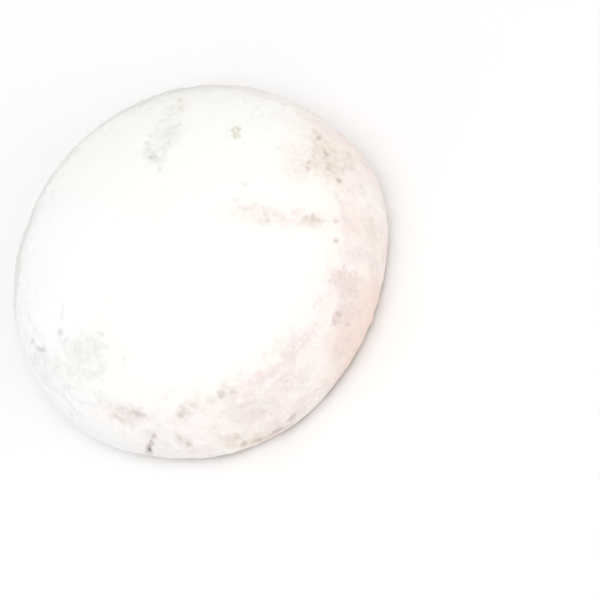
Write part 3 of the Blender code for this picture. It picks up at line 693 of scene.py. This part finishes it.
# %% Move the points and store the attributes
FLATTER_BELOW, FLATTEST_BELOW = 0.9 * MM, 0.1 * MM  # heights between which the relief gets lower
BASE_FLATNESS = 0.6  # how much of the relief is missing at the base, so that the cookie can stand
inward *= 1.0 - BASE_FLATNESS * ease(points[:, 2], FLATTER_BELOW, FLATTEST_BELOW)
moved = points - outwards * inward[:, None]
moved = np.clip(moved, np.array(solid_lowest), np.array(solid_highest))
sugar_coat.data.vertices.foreach_set("co", moved.ravel())
wear_values = {
    "worn": worn, "damp": damp, "buttery": buttery, "cream_and_bounce": cream_and_bounce, "browned": browned, "hollow_shade_and_wear": hollow_shade_and_wear,
    "far_edge_shade": far_edge_shade, "cool": cool, "rose_and_bounce": rose_and_bounce, "spotted": spotted
}
for name, values in wear_values.items():
    attribute = sugar_coat.data.attributes.new(name, "FLOAT", "POINT")
    attribute.data.foreach_set("value", values.astype(np.float32))
sugar_coat.data.update()
sugar_coat.data.shade_smooth()
print("attributes:", list(wear_values))

# %% [markdown]
# ## Small helpers for materials
# A material is a graph of nodes. These helpers each add a node with its values set and its inputs joined,
# so that each material below reads as a list of what it is made of.

# %% Node helpers


def add(tree, kind, values=None, **settings):
    """Adds a node. Settings are its properties; values are its sockets, by name or place."""
    new = tree.nodes.new(kind)
    for key, value in settings.items():
        setattr(new, key, value)
    for key, value in (values or {}).items():
        if isinstance(value, bpy.types.NodeSocket):
            tree.links.new(value, new.inputs[key])
        else:
            new.inputs[key].default_value = value
    return new


def read(tree, name):
    """The value of a point attribute."""
    return add(tree, "ShaderNodeAttribute", attribute_name=name).outputs["Fac"]


def position(tree):
    """Object coordinates, which are metres on the cookie."""
    return add(tree, "ShaderNodeTexCoord").outputs["Object"]


def speckle(tree, where, size, detail=2.0):
    """Noise from 0 to 1 with lumps of about this size."""
    values = {"Vector": where, "Scale": 1 / size, "Detail": detail}
    return add(tree, "ShaderNodeTexNoise", values).outputs["Fac"]


def math_node(tree, operation, first, second=0.0, third=0.0):
    """One step of arithmetic."""
    return add(tree, "ShaderNodeMath", {0: first, 1: second, 2: third}, operation=operation).outputs[0]


def weighted_sum(tree, *terms):
    """Adds up values, each times its weight."""
    total = 0.0
    for value, weight in terms:
        total = math_node(tree, "MULTIPLY_ADD", value, weight, total)
    return total


def spread(tree, value, low, high, to_low=0.0, to_high=1.0):
    """Maps a value from one range to another with soft ends."""
    values = {"Value": value, "From Min": low, "From Max": high, "To Min": to_low, "To Max": to_high}
    return add(tree, "ShaderNodeMapRange", values, interpolation_type="SMOOTHSTEP").outputs["Result"]


print("node helpers:", [tool.__name__ for tool in (add, read, position, speckle, weighted_sum, spread)])

# %% [markdown]
# Colours are laid one over another, as paint is. The Mix node has sockets for several kinds of value
# under the same names, so its two colours are found by their places, 6 and 7.

# %% Helpers for colours and shaders
MIX_UNDER, MIX_OVER, MIX_RESULT = 6, 7, 2


def blend(tree, share, first, second):
    """One colour over another, by a share from 0 to 1."""
    values = {"Factor": share, MIX_UNDER: first, MIX_OVER: second}
    return add(tree, "ShaderNodeMix", values, data_type="RGBA").outputs[MIX_RESULT]


def new_finish(name, roughness, specular):
    """(material, its node tree, its shader) for a matt finish."""
    material = bpy.data.materials.new(name)
    material.use_nodes = True
    shader = material.node_tree.nodes["Principled BSDF"]
    shader.inputs["Roughness"].default_value = roughness
    shader.inputs["Specular IOR Level"].default_value = specular
    return material, material.node_tree, shader


def join(tree, shader, colour, height, strength, distance):
    """Gives the shader its colour, and its bump from a height."""
    tree.links.new(colour, shader.inputs["Base Color"])
    bump = add(tree, "ShaderNodeBump", {"Strength": strength, "Distance": distance, "Height": height})
    tree.links.new(bump.outputs["Normal"], shader.inputs["Normal"])


print("shader helpers:", [tool.__name__ for tool in (blend, new_finish, join)])

# %% [markdown]
# ## Powder, the finish that all the pieces share
# Close to, powdered sugar is grains far too small to model, so they are a bump. The same powder lies on
# the coat, on its loose clumps and on the crumbs, which makes it a node group: built once, with the size
# of its grains as an input. It gives a height for the bump and a mask that is high in the gaps between
# the grains, where the materials paint a touch of shade.

# %% The powder group
POWDER_GRAIN = 0.16 * MM
CLUSTER_SCALE = 0.45  # the grains' clusters are larger, so their pattern is scaled by less
CLUSTER_HEIGHT = 0.5
GRAIN_DETAIL, GRAIN_HARSHNESS = 3.0, 0.6
GAP_SHADE_START, GAP_SHADE_FULL = 0.30, 0.05  # heights


def powder_group():
    """A node group: grain size in; height, and where shade is painted between the grains, out."""
    group = bpy.data.node_groups.new("powder grain", "ShaderNodeTree")
    group.interface.new_socket("Grain Size", in_out="INPUT", socket_type="NodeSocketFloat")
    group.interface.new_socket("Height", in_out="OUTPUT", socket_type="NodeSocketFloat")
    group.interface.new_socket("Gap Shade", in_out="OUTPUT", socket_type="NodeSocketFloat")
    inside = group.nodes.new("NodeGroupInput")
    outside = group.nodes.new("NodeGroupOutput")
    where = position(group)
    scale = math_node(group, "DIVIDE", 1.0, inside.outputs["Grain Size"])
    values = {"Vector": where, "Scale": scale, "Detail": GRAIN_DETAIL, "Roughness": GRAIN_HARSHNESS}
    soft = add(group, "ShaderNodeTexNoise", values)
    wide = math_node(group, "MULTIPLY", scale, CLUSTER_SCALE)
    cells = add(group, "ShaderNodeTexVoronoi", {"Vector": where, "Scale": wide, "Randomness": 1.0})
    domes = math_node(group, "MULTIPLY", cells.outputs["Distance"], CLUSTER_HEIGHT)
    height = math_node(group, "SUBTRACT", soft.outputs["Fac"], domes)
    group.links.new(height, outside.inputs["Height"])
    # the mask where painted shade goes between the grains
    group.links.new(spread(group, height, GAP_SHADE_START, GAP_SHADE_FULL), outside.inputs["Gap Shade"])
    return group


def powder(tree, grain):
    """The powder's node in a material, with grains of this size."""
    return add(tree, "ShaderNodeGroup", {"Grain Size": grain}, node_tree=POWDER)


POWDER = powder_group()
print("powder group:", [item.name for item in POWDER.interface.items_tree])

# %% [markdown]
# ## The coat's colours
# White sugar isn't one white. Over the crown it is faintly green beside the cool white of the left, and
# the buttery side is cream and rose, with painted warm bounce light that turns it tan at the lower right.
# A veil is the colour of worn sugar, and a spot is the same tone, darker.

# %% Colours of the sugar, its veils and its spots
WHITE_SUGAR = (0.928, 0.933, 0.894, 1.0)
COOL_SUGAR = (0.925, 0.932, 0.930, 1.0)
# painted shade of the steep far side
FAR_EDGE_SHADE_GREY = (0.760, 0.760, 0.745, 1.0)
CREAM_SUGAR = (0.935, 0.850, 0.812, 1.0)
ROSE_SUGAR = (0.922, 0.808, 0.790, 1.0)
# painted tan bounce light at the lower right
TAN_BOUNCE_TINT = (0.884, 0.677, 0.584, 1.0)
# painted shade between the grains
GAP_SHADE = (0.860, 0.845, 0.825, 1.0)
# painted shade laid in the hollows and the crumbly dips
HOLLOW_SHADE = (0.800, 0.745, 0.720, 1.0)
# painted shadow in the deep pit
PIT_SHADE = (0.330, 0.315, 0.310, 1.0)
BROWN_CRUST = (0.330, 0.160, 0.070, 1.0)
VEILS = {
    "dough": (0.795, 0.712, 0.622, 1.0),
    "butter": (0.800, 0.675, 0.645, 1.0),
    "damp": (0.785, 0.790, 0.755, 1.0),
    "cool": (0.780, 0.782, 0.784, 1.0),
}
SPOT_TONES = {
    "dough": (0.630, 0.550, 0.478, 1.0),
    "butter": (0.610, 0.505, 0.480, 1.0),
    "damp": (0.650, 0.655, 0.615, 1.0),
    "cool": (0.640, 0.642, 0.645, 1.0),
}


def toned(tree, colours):
    """One colour out of four: dough, turned towards butter, then towards damp, which may be cool."""
    colour = blend(tree, read(tree, "buttery"), colours["dough"], colours["butter"])
    damp_colour = blend(tree, read(tree, "cool"), colours["damp"], colours["cool"])
    return blend(tree, read(tree, "damp"), colour, damp_colour)


print(len(VEILS), "veils, and a spot's tone for each")

# %% [markdown]
# ## Dots where the sugar is gone
# In a worn place the sugar is missing in small dots. Plain noise would run together into blotches, so the
# dots are the cells of a Voronoi pattern, pushed out of round by noise. Each cell draws a number, and it
# has a dot only if the wear there is above its number.

# %% The pattern of dots
DOT_SPACING = 0.95 * MM
DOT_JITTER = 0.45 * MM  # how far noise pushes the dots out of round
DOT_JITTER_SIZE = 0.7 * MM
DOT_EDGE = (0.46, 0.06)  # where a dot ends and where it is full, in shares of the spacing
DOT_WEAR = -0.9  # what the wear takes off a dot's number
DOT_DRAW = (0.10, -0.20)  # the number left where there is no dot yet, and where it is full


def vector_step(tree, operation, first, values):
    """One step of arithmetic on a direction."""
    return add(tree, "ShaderNodeVectorMath", {0: first, **values}, operation=operation).outputs["Vector"]


def dot_pattern(tree, where, wear_value):
    """1 inside a dot and 0 outside, with more dots where more is worn."""
    values = {"Vector": where, "Scale": 1 / DOT_JITTER_SIZE, "Detail": 2.0}
    push = add(tree, "ShaderNodeTexNoise", values).outputs["Color"]
    push = vector_step(tree, "SUBTRACT", push, {1: (0.5, 0.5, 0.5)})
    push = vector_step(tree, "SCALE", push, {"Scale": 3 * DOT_JITTER})
    pushed = vector_step(tree, "ADD", where, {1: push})
    cells = add(tree, "ShaderNodeTexVoronoi", {"Vector": pushed, "Scale": 1 / DOT_SPACING})
    draws = add(tree, "ShaderNodeSeparateColor", {"Color": cells.outputs["Color"]}).outputs["Red"]
    left_over = math_node(tree, "MULTIPLY_ADD", wear_value, DOT_WEAR, draws)
    inside = spread(tree, cells.outputs["Distance"], *DOT_EDGE)
    return math_node(tree, "MULTIPLY", inside, spread(tree, left_over, *DOT_DRAW))


print(f"dots {1000 * DOT_SPACING:.2f} mm apart")

# %% [markdown]
# ## The veil over worn sugar
# A soft veil lies over each worn place, in its own tone. It comes from comparing the wear with two sizes
# of noise: where little is worn only the deepest dips of the noise show, and where much is worn nearly
# all of it does, so that a patch breaks up towards its edge as a rubbed coat does.

# %% Masks for the veil and the dark marks
GRAIN_SIZE, MOTTLE_SIZE = 0.65 * MM, 1.7 * MM
VEIL_STARTS, VEIL_FULL = 0.48, 0.86
VEIL_LEAST, VEIL_MOST = 0.13, 0.88
SPOT_STARTS, SPOT_FULL = 0.42, 1.38
SOME_WEAR = (0.02, 0.30)  # where there is less, there is no veil


def wear_masks(tree, where):
    """(veil, dots, dark marks): how much each of them shows."""
    worn_value, hollow_shade_and_wear_value = read(tree, "worn"), read(tree, "hollow_shade_and_wear")
    grain = speckle(tree, where, GRAIN_SIZE)
    mottle = speckle(tree, where, MOTTLE_SIZE)
    bare = weighted_sum(tree, (grain, 0.55), (mottle, 0.45), (worn_value, 0.30), (hollow_shade_and_wear_value, 0.05))
    some_wear = spread(tree, worn_value, *SOME_WEAR)
    veil = spread(tree, bare, VEIL_STARTS, VEIL_FULL, VEIL_LEAST, VEIL_MOST)
    veil = math_node(tree, "MULTIPLY", veil, some_wear)
    dots = math_node(tree, "MULTIPLY", dot_pattern(tree, where, worn_value), some_wear)
    spots = weighted_sum(tree, (read(tree, "spotted"), 1.0), (grain, 0.50))
    spots = spread(tree, spots, SPOT_STARTS, SPOT_FULL)
    dark = spread(tree, weighted_sum(tree, (spots, 0.85), (dots, 0.34)), 0.0, 1.0)
    return veil, dots, dark


print(f"veil from {VEIL_LEAST} to {VEIL_MOST} where the coat is worn")

# %% [markdown]
# ## The coat's material
# The colours go on from the bottom up, each over the last by its own share: white sugar, cooler at the
# left and greyed by painted shade on the steep far side; the cream, rose and tan casts, partly painted
# warm bounce light; the painted shade in gaps, hollows and crumbly places; the veil; the dots and spots;
# the browned crust; and the painted shade in the one deep pit.

# %% Sugar over dough
CRUMBLE_SIZE, BLUSH_SIZE = 0.40 * MM, 2.6 * MM
CRUMBLE_FLATNESS = (1.0, 1.0, 1.7)  # crumbs of the coat lie flat, so their pattern is squeezed in height
CRUMBLE_RANGE, BLUSH_RANGE = (0.54, 0.38), (0.35, 0.65)  # of the noise, from none to full
# shares of painted shade: on the steep far side, between the grains, in the hollows and in the crumbly
# dips
FAR_EDGE_SHADE_COVER, GAP_SHADE_COVER, HOLLOW_SHADE_COVER, CRUMBLE_SHADE_COVER = 0.90, 0.25, 0.24, 0.20
PIT_SHADE_STARTS, PIT_SHADE_FULL = 1.02, 1.45  # only the deep pit is marked this strongly, with its painted shadow
SUGAR_ROUGHNESS, DAMP_ROUGHNESS, SUGAR_SHINE = 0.95, 0.70, 0.25


def sugar_material():
    """White powdered sugar that lets the dough through where the coat is worn."""
    material, tree, shader = new_finish("powdered sugar", SUGAR_ROUGHNESS, SUGAR_SHINE)
    where = position(tree)
    grains = powder(tree, POWDER_GRAIN)
    veil, dots, dark = wear_masks(tree, where)
    hollow_shade_and_wear_value, cream_and_bounce_value = read(tree, "hollow_shade_and_wear"), read(tree, "cream_and_bounce")

    flat = add(tree, "ShaderNodeMapping", {"Vector": where, "Scale": CRUMBLE_FLATNESS}).outputs["Vector"]
    # the crumbly dips are sunk by the bump below, and get painted shade
    crumbly = spread(tree, speckle(tree, flat, CRUMBLE_SIZE), *CRUMBLE_RANGE)
    crumbly = math_node(tree, "MULTIPLY", crumbly, cream_and_bounce_value)
    blush = spread(tree, speckle(tree, where, BLUSH_SIZE, detail=3.0), *BLUSH_RANGE)
    # the casts, with painted bounce light turning tan at the lower right
    cast = blend(tree, read(tree, "rose_and_bounce"), blend(tree, blush, CREAM_SUGAR, ROSE_SUGAR), TAN_BOUNCE_TINT)

    colour = WHITE_SUGAR
    for over, share in (
        (COOL_SUGAR, read(tree, "cool")),
        # painted shade on the steep far side
        (FAR_EDGE_SHADE_GREY, math_node(tree, "MULTIPLY", read(tree, "far_edge_shade"), FAR_EDGE_SHADE_COVER)),
        (cast, cream_and_bounce_value),
        # painted shade between the grains
        (GAP_SHADE, math_node(tree, "MULTIPLY", grains.outputs["Gap Shade"], GAP_SHADE_COVER)),
        # painted shade in the hollows and the crumbly dips
        (HOLLOW_SHADE, math_node(tree, "MULTIPLY", hollow_shade_and_wear_value, HOLLOW_SHADE_COVER)),
        (HOLLOW_SHADE, math_node(tree, "MULTIPLY", crumbly, CRUMBLE_SHADE_COVER)),
        (toned(tree, VEILS), veil),
        (toned(tree, SPOT_TONES), dark),
        (BROWN_CRUST, math_node(tree, "MULTIPLY", read(tree, "browned"), veil)),
        # painted shadow in the deep pit
        (PIT_SHADE, spread(tree, read(tree, "spotted"), PIT_SHADE_STARTS, PIT_SHADE_FULL)),
    ):
        colour = blend(tree, share, colour, over)

    glaze = math_node(tree, "MULTIPLY", veil, read(tree, "damp"))
    glaze = spread(tree, glaze, 0.0, 1.0, SUGAR_ROUGHNESS, DAMP_ROUGHNESS)
    tree.links.new(glaze, shader.inputs["Roughness"])
    height = weighted_sum(tree, (grains.outputs["Height"], 0.35), (crumbly, -0.40), (dots, -0.30))
    join(tree, shader, colour, height, strength=0.8, distance=0.10 * MM)
    return material


sugar_coat.data.materials.clear()
sugar_coat.data.materials.append(sugar_material())
print("coat:", len(sugar_coat.data.materials[0].node_tree.nodes), "nodes")

# %% [markdown]
# ## Loose clumps of sugar
# Powdered sugar cakes into small clumps that stick out of the coat. They are real pieces here, because
# they break up the outline and catch the light from the side. A particle system could scatter them, but
# copies laid in one mesh need nothing more to be drawn or exported. A few irregular clumps are modelled
# once: an icosphere whose corners are pushed in and out by noise. A clump has 20 or 80 faces, no more,
# because there are many.

# %% Helpers: model a clump, and lay copies of it
CLUMP_RAGGEDNESS = 0.45
CLUMP_NOISE = 0.9
FINE_SHAPES, COARSE_SHAPES = (8, 0.37, 1), (6, 40.61, 2)  # (how many, place in the noise, level of faces)


def clump_pattern(seed, faces_level):
    """One irregular clump, about one unit in radius, to be copied many times."""
    ball = bmesh.new()
    bmesh.ops.create_icosphere(ball, subdivisions=faces_level, radius=1.0)
    for corner in ball.verts:
        spot = corner.co * CLUMP_NOISE + Vector((seed, 2.0 * seed, 5.0))
        corner.co *= 1.0 + CLUMP_RAGGEDNESS * noise.noise(spot)
    mesh = bpy.data.meshes.new("clump_pattern")
    ball.to_mesh(mesh)
    ball.free()
    return mesh


def clump_patterns(count, start, faces_level):
    """Several clumps, each cut from its own place in the noise."""
    return [clump_pattern(seed + start, faces_level) for seed in range(count)]


def lay_copies(name, patterns, spots):
    """One object with a copy of a pattern at each spot: (pattern's number, placing matrix, cream and
    bounce cast).
    """
    heap = bmesh.new()
    for number, matrix, _ in spots:
        copy = patterns[number].copy()
        copy.transform(matrix)
        heap.from_mesh(copy, face_normals=False, vertex_normals=False)
        bpy.data.meshes.remove(copy)
    mesh = bpy.data.meshes.new(name)
    heap.to_mesh(mesh)
    heap.free()
    mesh.shade_smooth()
    tones = [tone for number, _, tone in spots for _ in patterns[number].vertices]
    mesh.attributes.new("cream_and_bounce", "FLOAT", "POINT").data.foreach_set("value", tones)
    piece = bpy.data.objects.new(name, mesh)
    bpy.context.scene.collection.objects.link(piece)
    return piece


fine_patterns, coarse_patterns = clump_patterns(*FINE_SHAPES), clump_patterns(*COARSE_SHAPES)
print("clump patterns:", len(fine_patterns), "fine and", len(coarse_patterns), "coarse")

# %% [markdown]
# The clumps lie mostly on the steep side, on sound sugar, and seldom on the tan stretch. So their points
# are drawn by weight. Each clump is turned, stretched and half sunk by its own random draw, and one that
# would stick out of the solid's box is left out.

# %% Lay the clumps
CLUMP_KINDS = (
    # (how many, smallest radius, largest radius, flatness, first pattern, how many patterns)
    (1600, 0.05, 0.12, 0.55, 0, len(fine_patterns)),
    (110, 0.12, 0.24, 0.50, len(fine_patterns), len(coarse_patterns)),
)
CLUMP_STRETCH = (0.75, 1.25)
CLUMP_SUNK = 0.30  # in shares of its radius
FACING_UP, ABOVE_FOOT = -0.3, 0.5 * MM  # clumps lie only above both of these
CROWN_CLUMPS, SIDE_CLUMPS = 0.12, 0.9  # weights
SOUND_SUGAR = (0.5, 0.1)  # the wear where no clump lies, and where they all may
HEAPING, HEAPS = 0.35, (-0.2, 0.6)  # they gather where the middling noise is high
TAN_CLEAR = 0.75


def sunk_spot(index, size, flatness):
    """A matrix that half sinks a clump of this radius into the coat at one of its points."""
    outward = Vector(outwards[index])
    turn = Quaternion(outward, draw.uniform(0, 2 * math.pi)) @ outward.to_track_quat("Z", "Y")
    stretch = Matrix.Diagonal((*(size * draw.uniform(*CLUMP_STRETCH, 2)), size * flatness, 1.0))
    middle = Vector(moved[index]) - CLUMP_SUNK * size * outward
    return Matrix.Translation(middle) @ turn.to_matrix().to_4x4() @ stretch


def inside_box(index, size):
    """True where a clump this big stays inside the solid's box."""
    spot = Vector(moved[index])
    return all(low + size <= c <= high - size for c, low, high in zip(spot, solid_lowest, solid_highest))


def choose_points(count, weight):
    """Indices of the coat's points, drawn by weight."""
    return draw.choice(point_count, size=count, replace=False, p=weight / weight.sum())


upper = (outwards[:, 2] > FACING_UP) & (points[:, 2] > ABOVE_FOOT)
clump_weight = upper * (CROWN_CLUMPS + SIDE_CLUMPS * rim) * ease(worn, *SOUND_SUGAR)
clump_weight *= HEAPING + ease(middling, *HEAPS)
clump_weight *= 1.0 - TAN_CLEAR * np.clip(rose_and_bounce, 0.0, 1.0)
clump_spots = []
for count, smallest, largest, flatness, first, kinds in CLUMP_KINDS:
    for index in choose_points(count, clump_weight):
        radius = draw.uniform(smallest, largest) * MM
        if inside_box(index, radius):
            number = first + int(draw.integers(kinds))
            clump_spots.append((number, sunk_spot(index, radius, flatness), cream_and_bounce[index]))
sugar_clumps = lay_copies("sugar_clumps", fine_patterns + coarse_patterns, clump_spots)
print("sugar clumps:", len(clump_spots), "with", len(sugar_clumps.data.polygons), "faces")

# %% [markdown]
# The clumps are the same sugar as the coat, with the cast of the place that each lies in, its painted
# bounce light included. Their grains are a little finer.

# %% The clumps' material
CLUMP_GRAIN = 0.7 * POWDER_GRAIN
CLUMP_GAP_SHADE_COVER = 0.3


def clump_material():
    """The same white sugar, in a small clump."""
    material, tree, shader = new_finish("caked sugar", SUGAR_ROUGHNESS, SUGAR_SHINE)
    grains = powder(tree, CLUMP_GRAIN)
    colour = blend(tree, read(tree, "cream_and_bounce"), WHITE_SUGAR, ROSE_SUGAR)
    # painted shade between the grains of the clump
    gap_shade = math_node(tree, "MULTIPLY", grains.outputs["Gap Shade"], CLUMP_GAP_SHADE_COVER)
    colour = blend(tree, gap_shade, colour, GAP_SHADE)
    join(tree, shader, colour, grains.outputs["Height"], strength=0.4, distance=0.05 * MM)
    return material


sugar_clumps.data.materials.append(clump_material())
print("clumps:", len(sugar_clumps.data.materials[0].node_tree.nodes), "nodes")

# %% [markdown]
# ## Nut crumbs
# Finely chopped nuts poke through here and there, as tan and brown chips with a dusting of sugar. There
# are few of them, so each has its place in a list. They are modelled like the clumps, but a chip is
# broken and not caked, so it is shaded flat.

# %% Model the chips and set them in their places
CRUMBS = (
    # (bearing, elevation, radius)
    (19.5, 31.0, 0.62 * MM),
    (17.5, 33.0, 0.46 * MM),
    (99.0, 6.5, 0.46 * MM),
    (102.0, 4.5, 0.36 * MM),
    (131.0, 6.0, 0.38 * MM),
    (36.0, 1.0, 0.40 * MM),
    (68.0, 1.5, 0.42 * MM),
)
CRUMB_SHAPES = (5, 80.13, 2)
CRUMB_STRETCH = (0.8, 1.25)
CRUMB_SUNK = 0.45  # in shares of its radius


def crumb_spot(bearing, elevation, size):
    """A matrix that sinks most of a chip into the coat."""
    point, along, up, outward = place(bearing, elevation)
    nearest = int(np.argmin(((points - np.array(point)) ** 2).sum(1)))
    turn = Euler(draw.uniform(0, 2 * math.pi, 3)).to_matrix().to_4x4()
    stretch = Matrix.Diagonal((*(size * draw.uniform(*CRUMB_STRETCH, 3)), 1.0))
    return Matrix.Translation(Vector(moved[nearest]) - CRUMB_SUNK * size * outward) @ turn @ stretch


crumb_patterns = clump_patterns(*CRUMB_SHAPES)
crumb_spots = [(int(draw.integers(len(crumb_patterns))), crumb_spot(*crumb), 0.0) for crumb in CRUMBS]
nut_crumbs = lay_copies("nut_crumbs", crumb_patterns, crumb_spots)
nut_crumbs.data.shade_flat()
print("nut crumbs:", len(CRUMBS))

# %% [markdown]
# A chip is tan nut, browner in patches. The dusting on it is the coat's white, laid over by noise.

# %% The chips' material
PALE_NUT = (0.630, 0.605, 0.495, 1.0)
BROWN_NUT = (0.560, 0.530, 0.430, 1.0)
NUT_PATCH_SIZE, DUST_SIZE = 0.5 * MM, 0.25 * MM
DUST_LEAST, DUST_MOST = 0.15, 0.70
NUT_RANGE, DUST_RANGE = (0.35, 0.65), (0.34, 0.62)  # of the noise, from none to full
NUT_ROUGHNESS, NUT_SHINE = 0.85, 0.3


def crumb_material():
    """Tan nut, browner in patches, with a dusting of powder."""
    material, tree, shader = new_finish("dusted nut", NUT_ROUGHNESS, NUT_SHINE)
    grains = powder(tree, POWDER_GRAIN)
    where = position(tree)
    tone = spread(tree, speckle(tree, where, NUT_PATCH_SIZE, detail=3.0), *NUT_RANGE)
    dust = spread(tree, speckle(tree, where, DUST_SIZE), *DUST_RANGE, DUST_LEAST, DUST_MOST)
    colour = blend(tree, dust, blend(tree, tone, PALE_NUT, BROWN_NUT), WHITE_SUGAR)
    join(tree, shader, colour, grains.outputs["Height"], strength=0.5, distance=0.06 * MM)
    return material


nut_crumbs.data.materials.clear()
nut_crumbs.data.materials.append(crumb_material())
print("crumbs:", len(nut_crumbs.data.materials[0].node_tree.nodes), "nodes")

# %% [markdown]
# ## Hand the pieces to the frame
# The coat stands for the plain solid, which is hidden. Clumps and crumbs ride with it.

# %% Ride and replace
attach(sugar_coat, "root")
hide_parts("cookie")
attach(sugar_clumps, "root")
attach(nut_crumbs, "root")
print("pieces:", [piece.name for piece in (sugar_coat, sugar_clumps, nut_crumbs)])

# %% [markdown]
# ## The floor
# The cookie stands on a plain white floor, wide enough that its edge is never seen. In a studio a sheet
# of paper curves up behind the object, but this camera looks down, so a flat disc is enough. It is a hair
# below the base, so that the two faces don't flicker through each other.

# %% Floor
FLOOR_RADIUS = 3.0
FLOOR_SIDES = 96
FLOOR_GAP = 0.02 * MM
FLOOR_TONES = (0.900, 0.900, 0.900, 1.0), (0.886, 0.886, 0.886, 1.0)
FLOOR_CLOUD = 0.125  # size of the faint clouds in its tone
FLOOR_ROUGHNESS, FLOOR_SHINE = 0.9, 0.1


def make_floor():
    """A wide round floor just under the cookie."""
    disc = bmesh.new()
    bmesh.ops.create_circle(disc, cap_ends=True, segments=FLOOR_SIDES, radius=FLOOR_RADIUS)
    bmesh.ops.translate(disc, verts=disc.verts[:], vec=(0.0, 0.0, -FLOOR_GAP))
    mesh = bpy.data.meshes.new("floor")
    disc.to_mesh(mesh)
    disc.free()
    material, tree, shader = new_finish("white floor", FLOOR_ROUGHNESS, FLOOR_SHINE)
    tint = blend(tree, speckle(tree, position(tree), FLOOR_CLOUD), *FLOOR_TONES)
    tree.links.new(tint, shader.inputs["Base Color"])
    mesh.materials.append(material)
    floor = bpy.data.objects.new("floor", mesh)
    bpy.context.scene.collection.objects.link(floor)
    return floor


make_floor()
print(f"floor: {2 * FLOOR_RADIUS:.0f} m across")

# %% [markdown]
# ## Light
# The light is a large, soft one overhead, since a small one would throw hard shadows. The pale light from
# all round is weaker near the level, which leaves the steep side a little darker than the crown. A faint
# light from the left and a weak warm one from the front right lift the edges. White sugar in bright light
# is nearly burnt out: only the steep side turns away enough to show its form.

# %% Lights
SKY_COLOUR = (1.0, 1.0, 1.0, 1.0)
SKY_OVERHEAD = 0.80  # strength of the light from above
SKY_LEVEL = 0.68  # and of the light that comes in level
SKY_LOW, SKY_HIGH = 0.10, 0.55  # how far up a direction points where the one ends and the other begins
LAMPS = (
    # (name, direction from the cookie, distance, width, watts, colour)
    ("softbox", (-0.12, -0.14, 0.98), 0.80, 0.90, 2.34, (1.0, 1.0, 1.0)),
    ("left_fill", (-0.90, -0.20, 0.25), 0.60, 0.40, 0.16, (1.0, 1.0, 1.0)),
    ("warm_bounce", (0.55, -0.78, 0.30), 0.50, 0.40, 0.44, (1.0, 0.95, 0.92)),
)


def area_light(name, direction, distance, width, watts, colour):
    """A round light at this distance, facing the cookie."""
    light = bpy.data.lights.new(name, "AREA")
    light.shape = "DISK"
    light.size = width
    light.energy = watts
    light.color = colour
    lamp = bpy.data.objects.new(name, light)
    direction = Vector(direction).normalized()
    lamp.location = direction * distance
    lamp.rotation_euler = direction.to_track_quat("Z", "Y").to_euler()
    bpy.context.scene.collection.objects.link(lamp)


world = bpy.data.worlds.new("pale room")
world.use_nodes = True
sky = world.node_tree
sky.nodes["Background"].inputs["Color"].default_value = SKY_COLOUR
direction = add(sky, "ShaderNodeTexCoord").outputs["Generated"]
upwardness = add(sky, "ShaderNodeSeparateXYZ", {"Vector": direction}).outputs["Z"]
sky_strength = spread(sky, upwardness, SKY_LOW, SKY_HIGH, SKY_LEVEL, SKY_OVERHEAD)
sky.links.new(sky_strength, sky.nodes["Background"].inputs["Strength"])
bpy.context.scene.world = world
for lamp in LAMPS:
    area_light(*lamp)
print("lamps:", [lamp[0] for lamp in LAMPS])

# %% [markdown]
# ## Camera
# The photograph looks down on the cookie at a steep angle, with the cookie's own upright leaning to the
# upper left of the picture. So the camera stands in front and above, is rolled, and is aimed a little
# past the cookie, which puts it left of the middle.

# %% Camera
PICTURE_SIZE = 600  # pixels, both ways
COOKIE_PIXEL = Vector((185.4, 254.8))  # where the cookie's middle falls, from the top left
CAMERA_ELEVATION = math.radians(57.7)
CAMERA_ROLL = math.radians(42.4)
CAMERA_LENS = 200.0  # mm
SENSOR = 36.0  # mm
CAMERA_DISTANCE = 371.8 * MM
CLIP_START, CLIP_END = 0.01, 20.0


def make_camera():
    """The photograph's view of the cookie."""
    data = bpy.data.cameras.new("camera")
    data.lens = CAMERA_LENS
    data.sensor_width = SENSOR
    data.clip_start, data.clip_end = CLIP_START, CLIP_END
    camera = bpy.data.objects.new("camera", data)
    bpy.context.scene.collection.objects.link(camera)
    middle = Vector((0.0, 0.0, HEIGHT / 2))
    back = Vector((0.0, -math.cos(CAMERA_ELEVATION), math.sin(CAMERA_ELEVATION)))
    level = back.to_track_quat("Z", "Y")
    rolled = level @ Quaternion((0.0, 0.0, 1.0), -CAMERA_ROLL)
    focal_pixels = CAMERA_LENS / SENSOR * PICTURE_SIZE
    half = PICTURE_SIZE / 2
    seen = Vector((COOKIE_PIXEL.x - half, half - COOKIE_PIXEL.y, -focal_pixels)).normalized()
    aside = Vector((0.0, 0.0, -1.0)).rotation_difference(seen)
    camera.rotation_mode = "QUATERNION"
    camera.rotation_quaternion = rolled @ aside.inverted()
    camera.location = middle + back * CAMERA_DISTANCE
    return camera


bpy.context.scene.camera = make_camera()
bpy.context.scene.view_settings.view_transform = "Standard"
print("camera at", [round(c, 3) for c in bpy.context.scene.camera.location])
